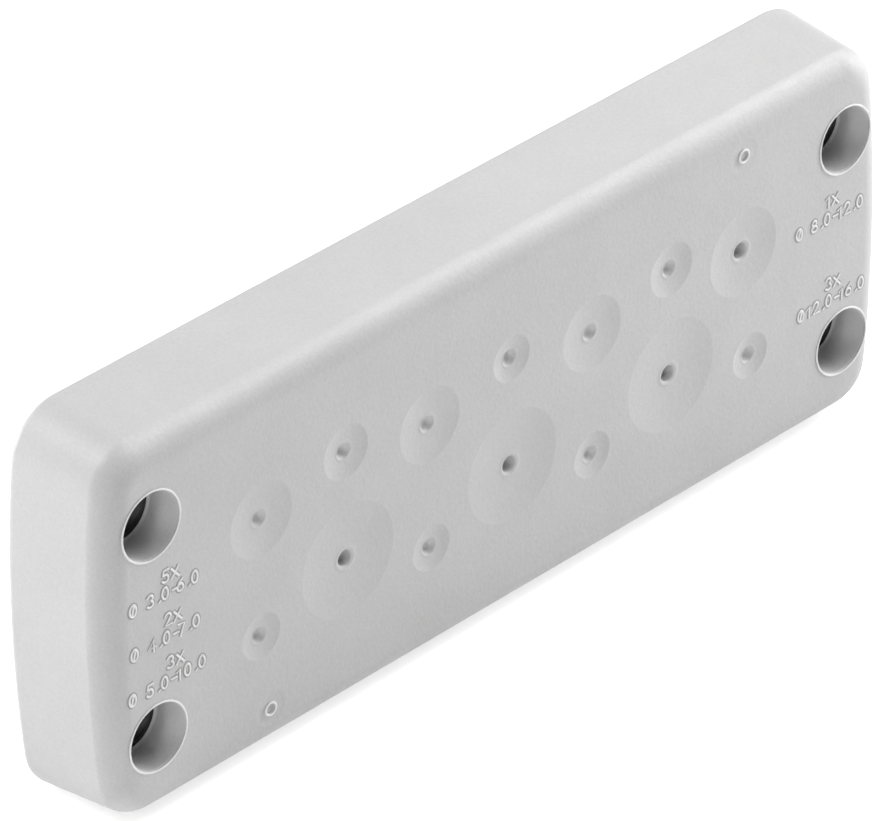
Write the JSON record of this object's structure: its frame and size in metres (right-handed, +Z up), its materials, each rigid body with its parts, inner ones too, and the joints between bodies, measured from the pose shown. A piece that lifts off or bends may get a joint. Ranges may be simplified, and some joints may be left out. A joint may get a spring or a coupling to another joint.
{
  "type": "cable entry plate",
  "caption": "Rectangular moulded plate that closes an enclosure cut-out, with shallow pierceable membrane entries for cables, rear guide tubes and round screw wells at its corners.",
  "frame": {"origin": "middle of the overall box, which is also the middle of the four-screw pattern, halfway through the thickness", "axes": "+X along the plate's long side, -Y out of the front face with the dishes, +Y out of the rear mounting face, +Z up along the short side"},
  "size_m": [0.1498, 0.0172, 0.0584],
  "materials": {
    "grey_elastomer": "light grey moulded elastomer, matt with a fine grain"
  },
  "bodies": {
    "root": {"entry_plate": "grey_elastomer"}
  },
  "joints": []
}
